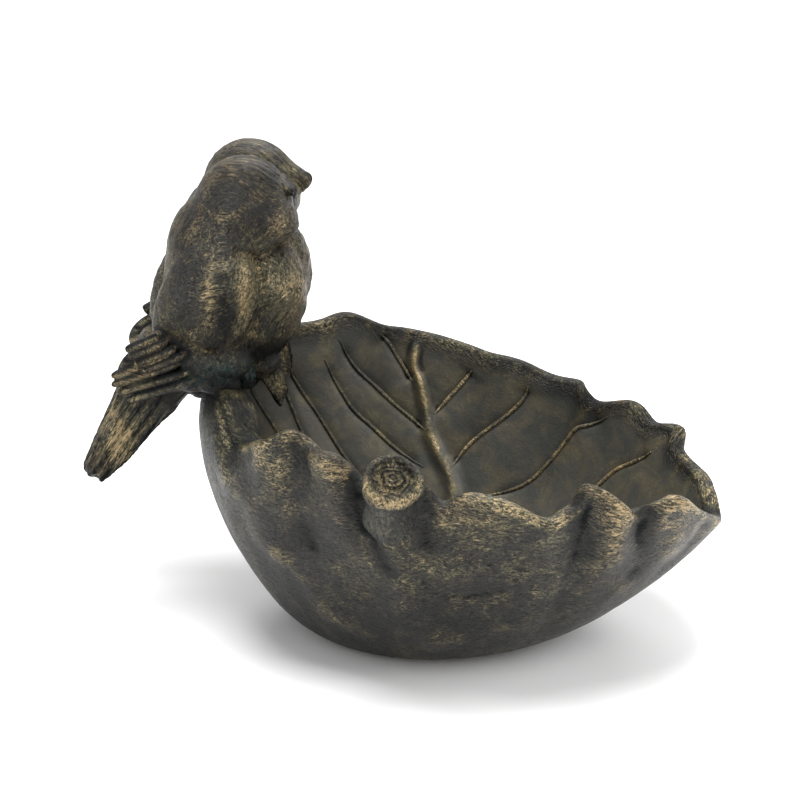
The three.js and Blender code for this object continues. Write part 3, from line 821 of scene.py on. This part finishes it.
# root and tip of the stacked feathers at the wing's end, on the left side
WING_FEATHERS = [
    ((-32, 22.5, 27), (-46.2, 19.5, 20.2)),
    ((-28.5, 23, 24.5), (-45, 20, 17.3)),
    ((-25, 23.5, 21.3), (-42, 20.5, 14.3)),
    ((-21.5, 23.5, 18.3), (-38.7, 21, 11.4)),
    ((-29, 20, 18.8), (-52.8, 15.5, 7.2)),
    ((-24, 21, 13.6), (-53, 16, 3.7)),
    ((-20.5, 21.5, 9.6), (-50.4, 16.5, 0.2)),
    ((-17.5, 21.5, 6), (-46.5, 16.5, -3.4)),
]
# centre and radii of the lumps of down between the wing's end and the perch
FLANK_TUFTS = [
    ((-13, 17, 12), (11, 7, 7)),
    ((-2, 15.5, 12), (10, 8, 8)),
    ((-20, 15, 5), (10, 5, 6)),
    ((-8, 15, 4), (11, 7, 7)),
]
# paths (x, z), width, depth and how far out each crease starts: under the cheek, round the shoulder,
# two down the wing, and under the wing
CREASES = [
    ([(30, 66), (22, 60.5), (13, 58), (5, 60), (-3, 63)], 2.6, 2.4, 5),
    ([(5, 59), (10, 56), (12.4, 49), (12.6, 41), (11.3, 33), (8, 26), (2, 19), (-8, 15)], 2.0, 2.6, 12),
    ([(-3, 54), (-6, 46), (-7, 36), (-9, 26)], 1.8, 0.7, 12),
    ([(-15, 58), (-18, 48), (-19, 38), (-24, 30)], 1.8, 0.7, 12),
    ([(-4, 17), (-14, 20), (-22, 24), (-30, 30)], 1.6, 1.3, 12),
]
# radii of a toe and of its tip, and the corners of a bird's grid
TOE = 1.35
CLAW = 0.8
BIRD_LOW = (-74, -31, -52)
BIRD_HIGH = (41, 31, 103)


def add_tail(field):
    """A thick wedge that runs down and back, with three pairs of feathers laid along its top."""

    def shape(p):
        q = p - TAIL_START
        t, up, side = q @ TAIL_ALONG, q @ TAIL_OVER, q[..., 1]
        share = np.clip(t / TAIL_LENGTH, 0, 1)
        depth, width = mix(16.5, 5.4, share), mix(15, 9.2, share**1.2)
        wedge = (np.sqrt((up / depth) ** 2 + np.abs(side / width) ** 2.6) - 1) * depth * 0.9
        end = np.maximum(t - 0.25 * up + 0.015 * side**2 - TAIL_LENGTH, -t - 6)
        return -join(-wedge, -end, 4)

    field.add(shape, (-72, -17, -50), (0, 17, 32), 4)
    for side in SIDES:
        for spread, lift in ((1.8, 0), (5.2, -0.8), (8.2, -2.4)):
            root = TAIL_START - TAIL_OVER * (14 + lift) + np.array((0, side * spread, 0))
            tip = TAIL_END - TAIL_OVER * (4.0 + lift) + np.array((0, side * spread * 0.95, 0))
            tip = tip + TAIL_ALONG * (1.0 - 0.25 * spread)
            field.feather(root, tip, 2.6, 1.9, (-0.83, side * 0.08 * spread, 0.56), 0.5)


def add_foot(field, side):
    """A thigh, and toes that grip the rim: straight out of the down, then over the edge."""
    field.blob((14, side * 5, 6), (6, 6, 8), axes(-50), 2)
    for splay in (-5, -2.5, 0, 2.5, 5):
        base = (12 - splay * side * 0.9, side * 5 + splay * 0.4, 9)
        knuckle = (17 - splay * side * 0.85, side * 5 + splay * 0.7, 2)
        claw = (22 - splay * side * 0.3, side * 5 + splay * 0.3, -10 - 0.5 * splay * side)
        field.rod(base, knuckle, TOE, TOE, 0.1)
        field.rod(knuckle, claw, TOE, CLAW, 0.1)


def skull_field(head_turn, neck, step):
    """The head with its cheeks, beak and eyes, turned about the neck."""
    turn = axes(0, head_turn)
    neck = np.array(neck)

    def head(x, y, z):
        return neck + np.array((x, y, z)) @ turn

    skull = Field((-18, -26, 50), BIRD_HIGH, step)
    skull.blob(head(0, 0, 0.8), (21.5, 19, 21.2), turn, 1)
    skull.blob(head(6, 0, -5), (17, 17, 14), turn, 4)
    for side in SIDES:
        skull.blob(head(11.5, side * 9.5, -7.5), (9.5, 8, 8), turn, 3)
    skull.rod(head(17, 0, 5), head(24.6, 0, 3.0), 6.8, 3.9, 2.0)
    skull.rod(head(17, 0, 1), head(23.4, 0, 0.6), 5.4, 3.3, 1.0)
    for side in SIDES:
        skull.blob(head(16, side * 13.8, 6.5), (3.8, 2.0, 3.2), turn, 2.2, hollow=True)
        skull.blob(head(15.4, side * 12.2, 6.5), (2.5, 2.5, 2.3), turn, 0.9)
    return skull


def bird_field(head_turn, neck, reach, step):
    """Belly, breast and back, tail, folded wings and feet, then the head, and creases between them."""
    field = Field(BIRD_LOW, BIRD_HIGH, step)
    field.blob((0, 0, 34), (36, 20.5, 30), axes(65), 2)
    field.blob((12.5, 0, 37), (26.5, 20.5, 20.8), axes(84), 5)
    field.blob((-3.6, 0, 60), (27, 20.5, 22.5), axes(66), 7)
    add_tail(field)
    for side in SIDES:
        field.blob((-12, side * 14.5, 40), (32, 11, 19), axes(62, side * 5), 1.5)
        field.blob((-2, side * 14, 50), (15, 11.5, 13), axes(70), 3)
        # the wing on the left is shorter, because it would show past the bird's back
        pad = (14, 4, 9.5) if side < 0 else (9, 4, 6)
        length = reach if side < 0 else 0.35 * reach
        field.blob((-23 - pad[0], side * 16.5, 12.5), pad, axes(25, -side * 8), 2)
        for root, tip in WING_FEATHERS:
            root, tip = [np.array((x, side * y, z)) for x, y, z in (root, tip)]
            field.feather(root, mix(root, tip, length), 2.05, 2.6, (-0.15, side, 0.3), 0.25)
        for centre, radii in FLANK_TUFTS:
            field.blob((centre[0], side * centre[1], centre[2]), radii, axes(-15), 2.0)
        add_foot(field, side)
    field.merge(skull_field(head_turn, neck, step), 3.0)
    for path, width, depth, beyond in CREASES:
        field.crease(path, width, depth, beyond)
    return field


def plumage_lie(p):
    """Coordinates along the feathers' lie, across it and sideways, with the lie bending a little."""
    bend = 0.35 * noise(p / 24, 17)
    fall = smoothstep(60, 20, p[:, 2]) * smoothstep(14, 2, p[:, 0])
    angle = 1.15 - 0.25 * fall + bend
    along = np.cos(angle) * p[:, 0] + np.sin(angle) * p[:, 2]
    across = -np.sin(angle) * p[:, 0] + np.cos(angle) * p[:, 2]
    return along, across, p[:, 1]


def tail_coordinates(p):
    """How far down the tail a point lies, and how far above its middle."""
    q = p - TAIL_START
    return q @ TAIL_ALONG, q @ TAIL_OVER


def plumage_relief(p):
    """Small relief of the plumage: soft clumps, ruffles, moss-like tufts and barbs, in millimetres."""
    x, y, z = p.T
    along, across, side = plumage_lie(p)
    down, over = tail_coordinates(p)
    tail = smoothstep(8, 20, down)
    clumps = layered(p / (8, 7, 10), 2, 21)
    ruffles = noise(np.stack([along / 5.5, across / 1.7, side / 1.7], 1), 33)
    locks = noise(np.stack([along / 9, across / 3.4, side / 3.4], 1), 35)
    tufted = np.exp(-(((x + 10) / 11) ** 2 + ((z - 7) / 8) ** 2))
    moss = layered(p / 3.2, 2, 41) * tufted
    quills = np.cos(over * 1.25 + 0.4) * smoothstep(3, 8, np.abs(y)) + np.cos(y * 1.6) * 0.6
    barbs = noise(np.stack([(down + 1.3 * over) / 1.5, over / 6, y / 6], 1), 45)
    # the feathers at the wing's end stay smooth, and the back nearly so
    fan = smoothstep(-14, -20, x) * smoothstep(-12, -7, z) * smoothstep(37, 31, z)
    back = smoothstep(22, 30, z) * smoothstep(-4, -14, x - 0.35 * (z - 50))
    calm = (1 - 0.9 * fan * smoothstep(14, 17, np.abs(y))) * (1 - 0.5 * back)
    body = calm * (0.4 * clumps + 0.34 * ruffles + 0.38 * locks) * (1 - tail)
    return body + calm * (0.7 * quills + 0.2 * barbs + 0.1 * clumps) * tail + 1.3 * moss * calm


def plumage_grain(points):
    """Coordinates for the strokes: bent and curled on the body, straight on the tail."""
    along, across, side = plumage_lie(points)
    down, over = tail_coordinates(points)
    tail = smoothstep(6, 18, down)
    curl = 1.6 * layered(points / 6, 2, 51) * (1 - tail)
    sway = 1.6 * layered(points / 6, 2, 53) * (1 - tail)
    lie = mix(across / 0.95, over / 0.9, tail)
    return np.stack([mix(along / 1.5, down / 7, tail), lie + curl, side / 0.95 + sway], 1)


def feather_crest(points):
    """Distance in side view to the nearest wing feather's middle line."""
    crest = np.full(len(points), 9.0)
    for root, tip in WING_FEATHERS:
        start, end = (np.array(point)[[0, 2]] for point in (root, tip))
        line, off = end - start, points[:, [0, 2]] - start
        share = np.clip(off @ line / (line @ line), 0, 1)
        crest = np.minimum(crest, np.linalg.norm(off - share[:, None] * line, axis=1))
    return crest


def plumage_colours(points):
    """Where a bird has more gold, or less (below 0), and where it has verdigris."""
    x, y, z = points.T
    flank = smoothstep(10, 16, np.abs(y))

    def glow(amount, at_x, at_z, spread_x, spread_z):
        return amount * np.exp(-(((x - at_x) / spread_x) ** 2 + ((z - at_z) / spread_z) ** 2))

    # two streaks on the wing, a dark one between; the wing's end, rump and tail; the cheek, crown and
    # nape; the breast's edge, and dark above the perch
    gilding = flank * (glow(0.85, 5, 44, 5, 12) + glow(0.6, -11, 44, 3, 13) - glow(0.5, -4, 36, 4, 12))
    gilding += glow(0.2, -33, 22, 9, 8) + glow(0.2, -44, 5, 12, 8) + glow(0.8, -50, -24, 7, 15)
    gilding += glow(0.4, 20, 72, 7, 6) + glow(0.2, 8, 97, 14, 8) + glow(0.2, -8, 72, 8, 12)
    gilding += glow(0.25, 16, 45, 3, 12) * flank - glow(0.4, -6, 4, 12, 8)
    # gold on the wing feathers' crests and none between them
    crest = feather_crest(points)
    fan = smoothstep(14, 17, np.abs(y)) * smoothstep(4, 2.5, crest)
    gilding += fan * (0.35 - 0.9 * smoothstep(0.5, 1.6, crest))
    # painted shade under the breast, where it faces down, and gold on the feet and the breast
    gilding -= 0.5 * smoothstep(24, 14, z) * smoothstep(8, 14, z) * smoothstep(0, 12, x)
    gilding += glow(0.4, 18, -4, 8, 7) + glow(0.5, 26, 38, 11, 20)
    verdigris = glow(0.9, -6, 8, 14, 8) + glow(0.4, -34, 0, 12, 6)
    return gilding, np.clip(verdigris, 0, 1)


def placed(points, perch, heading, size):
    """Points of a bird's own frame, moved into the assembly frame."""
    return points @ axes(0, heading) * size + perch


def make_bird(name, node, place, head_turn, neck, reach, step):
    points, faces = bird_field(head_turn, neck, reach, step).surface()
    points = points + normals_of(points, faces) * plumage_relief(points)[:, None]
    gilding, verdigris = plumage_colours(points)
    attributes = {"grain": plumage_grain(points), "gilding": gilding, "verdigris": verdigris}
    make_piece(name, placed(points, *place), faces, attributes, PLUMAGE, [node])


# centre and radii of the lumps of putty that bed a bird on the rim
PUTTY_LUMPS = [
    ((-5, 0, 1), (18, 14, 8.5)), ((-14, -8, 0), (8, 7, 6)), ((-14, 8, 0), (8, 7, 6)),
    ((2, -10, 3), (8, 6, 6)), ((2, 10, 3), (8, 6, 6)),
]


def make_seat(name, node, place):
    field = Field((-32, -24, -12), (22, 24, 14), 0.8)
    for centre, radii in PUTTY_LUMPS:
        field.blob(centre, radii, None, 2.5)
    points, faces = field.surface()
    points = points + normals_of(points, faces) * (1.4 * layered(points / 4, 3, 61))[:, None]
    green = np.full(len(points), 0.9)
    attributes = {"grain": points / 1.5, "gilding": 0 * green, "verdigris": green}
    make_piece(name, placed(points, *place), faces, attributes, PUTTY, [node])


# perch, heading (degrees) and size; then a bird's head turn, head middle, feather reach and grid step
NEAR = ((-74, 10, 113), 8, 1.0)
FAR = ((-72.5, 51, 112), -3, 0.97)
make_bird("near_bird_casting", "near_bird", NEAR, 30, (6.6, 0, 76.5), 1.0, 0.63)
make_bird("far_bird_casting", "far_bird", FAR, 3, (6.0, 0, 78.3), 0.6, 0.7)
make_seat("near_bird_putty", "near_bird_epoxy_seat", NEAR)
make_seat("far_bird_putty", "far_bird_epoxy_seat", FAR)

# ---- cut stem

# the middle of the cut face, how far it leans forward, and the radii of the ring and the neck
STEM_FACE = np.array((-3.0, -106.0, 110.5))
STEM_LEAN = math.radians(35)
STEM_RING = 12.3
STEM_NECK = 9.0
lean_cos, lean_sin = math.cos(STEM_LEAN), math.sin(STEM_LEAN)
STEM_FRAME = np.array([[1, 0, 0], [0, lean_cos, lean_sin], [0, -lean_sin, lean_cos]])


def stem_shape(q):
    """In the stem's own frame: z out of the cut face, x to the right, y up the face."""
    x, y, z = np.moveaxis(q, -1, 0)
    radius = np.sqrt(x**2 + y**2)
    turn = np.arctan2(y, x)
    edge = STEM_RING + 0.5 * np.cos(3 * turn + 0.6) + 0.3 * np.cos(5 * turn)
    root = np.maximum(-z - 12, 0)
    body = np.maximum(radius - STEM_NECK - 0.6 * np.cos(4 * turn) - 0.16 * root, np.abs(z + 16) - 14.0)
    ring = np.sqrt((radius - edge + 2.3) ** 2 + ((z + 2.6) * 0.8) ** 2) - 2.4
    face = np.maximum(radius - edge + 3.0, np.abs(z + 6.8) - 4.6)
    crown = np.sqrt((radius / 6.0) ** 2 + ((z + 2.8) / 1.9) ** 2)
    whole = join(join(body, ring, 1.5), face, 0.8)
    return join(whole, (crown - 1) * 1.9, 1.0)


STEM_LOW, STEM_HIGH = (-20, -20, -31), (20, 20, 3)


def make_stem():
    field = Field(STEM_LOW, STEM_HIGH, 0.55)
    field.add(stem_shape, STEM_LOW, STEM_HIGH, 0.1)
    points, faces = field.surface()
    radius = np.hypot(points[:, 0], points[:, 1])
    # bark and saw marks: rougher on the face, with growth rings
    rough_face = np.exp(-(((radius - 4.5) / 4.5) ** 2)) * (points[:, 2] > -6)
    bark = layered(points / 3.0, 3, 77) * (0.35 + 1.3 * rough_face)
    bark += 0.5 * rough_face * np.cos(2.2 * radius + 4 * noise(points / 4, 79))
    points = points + normals_of(points, faces) * bark[:, None]
    _, y, z = points.T
    on_ring = np.exp(-(((radius - 10.8) / 1.8) ** 2 + ((z + 2) / 3) ** 2))
    attributes = {
        "grain": points / (1.1, 1.1, 2.6),
        "gilding": on_ring * (0.5 + 1.7 * smoothstep(4, -8, y)) + 0.15 * rough_face - 0.05,
        "verdigris": 0.25 * smoothstep(-6, -12, z),
    }
    points = points @ STEM_FRAME + STEM_FACE
    make_piece("stem_stub_casting", points, faces, attributes, STEM, ["stem_stub"])


make_stem()

# ---- pads and dowels

def plain(name, dark, light, metallic, roughness, scale, depth):
    """One colour with a fine grain in its colour, roughness and relief."""
    t = Tree(name)
    grain = t.noise(t.place(), scale, 5, 0.6)
    t.put(t.shader.inputs["Base Color"], t.blend(t.ramp(grain, 0.35, 0.65), dark, light))
    t.put(t.shader.inputs["Roughness"], t.math("ADD", t.times(grain, 0.25), roughness))
    t.shader.inputs["Metallic"].default_value = metallic
    t.put(t.shader.inputs["Normal"], t.bump(grain, 0.5, depth))
    return t.material


RUBBER = plain("pad_rubber", (0.006, 0.006, 0.006, 1), (0.014, 0.014, 0.013, 1), 0.0, 0.7, 900, 0.0002)
STEEL = plain("dowel_steel", (0.36, 0.36, 0.37, 1), (0.52, 0.52, 0.53, 1), 1.0, 0.25, 1400, 0.00005)
DOWELS = [f"{bird}_bird_{leg}_leg_dowel" for bird in ("near", "far") for leg in ("left", "right")]
for material, names in ((RUBBER, PADS), (STEEL, DOWELS)):
    for name in names:
        for material_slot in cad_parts[name].material_slots:
            material_slot.material = material

# ---- camera, floor, lights

# metres; the camera looks at a point halfway up the part from 20 degrees above the table
TARGET = Vector((SHIFT[0] * MM, SHIFT[1] * MM, 0.105))
ELEVATION = math.radians(20)
DISTANCE = 1.0

camera_data = bpy.data.cameras.new("camera")
camera_data.sensor_width = 36
camera_data.lens = 102.9
camera_data.clip_start = 0.01
camera = add_object("camera", camera_data)
camera.location = TARGET + DISTANCE * Vector((0, -math.cos(ELEVATION), math.sin(ELEVATION)))
camera.rotation_euler = (math.pi / 2 - ELEVATION, 0, 0)
bpy.context.scene.camera = camera


def area_light(name, place, size, power):
    data = bpy.data.lights.new(name, "AREA")
    data.shape = "DISK"
    data.size = size
    data.energy = power
    light = add_object(name, data)
    light.location = place
    light.rotation_euler = (TARGET - Vector(place)).to_track_quat("-Z", "Y").to_euler()


area_light("key_light", (-0.1, -0.1, 1.6), 1.0, 35)
area_light("right_light", (1.2, -0.5, 1.0), 1.0, 11)
area_light("front_light", (0.0, -1.8, 1.2), 2.2, 8)
area_light("back_light", (0.2, 1.4, 1.2), 1.2, 12)

world = bpy.data.worlds.new("studio")
world.use_nodes = True
background = world.node_tree.nodes["Background"]
background.inputs["Color"].default_value = (1, 1, 1, 1)
background.inputs["Strength"].default_value = 0.62
bpy.context.scene.world = world
bpy.context.scene.view_settings.view_transform = "Standard"

FLOOR_HALF = 6
floor_mesh = bpy.data.meshes.new("floor")
corners = [(x * FLOOR_HALF, y * FLOOR_HALF, 0) for x, y in ((-1, -1), (1, -1), (1, 1), (-1, 1))]
floor_mesh.from_pydata(corners, [], [(0, 1, 2, 3)])
paper = Tree("floor_paper")
paper.shader.inputs["Roughness"].default_value = 0.9
shade = paper.blend(paper.noise(paper.place(), 6), (0.93, 0.93, 0.93, 1), (0.95, 0.95, 0.95, 1))
paper.put(paper.shader.inputs["Base Color"], shade)
floor_mesh.materials.append(paper.material)
floor = add_object("floor", floor_mesh)
